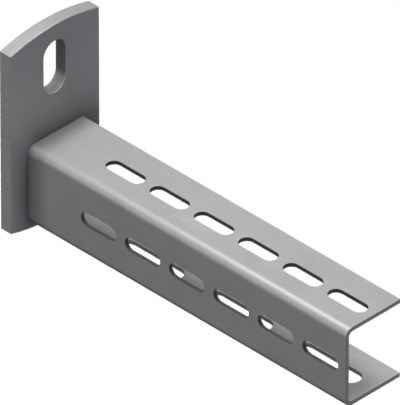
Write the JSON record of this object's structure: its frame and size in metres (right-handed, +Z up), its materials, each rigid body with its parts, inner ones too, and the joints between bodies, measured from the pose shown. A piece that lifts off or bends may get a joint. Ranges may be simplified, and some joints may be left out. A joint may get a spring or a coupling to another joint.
{
  "type": "cantilever strut arm",
  "caption": "Folded steel channel with rows of slots, welded to a flat arched wall plate with an upright fixing slot; carries pipes, ducts or trays out from a wall.",
  "frame": {"origin": "middle of the plate's wall face, halfway between its two arched ends", "axes": "+X out from the wall along the arm, +Y across the plate to the channel's open side, +Z up"},
  "size_m": [0.185, 0.05, 0.094],
  "materials": {
    "zinc_coated_plate": "satin zinc coat",
    "zinc_coated_sheet": "satin zinc coat",
    "zinc_coated_weld": "dull zinc coat over weld metal"
  },
  "bodies": {
    "root": {"wall_plate": "zinc_coated_plate", "channel_arm": "zinc_coated_sheet", "weld_bead_top": "zinc_coated_weld", "weld_bead_web": "zinc_coated_weld", "weld_bead_foot": "zinc_coated_weld"}
  },
  "joints": []
}
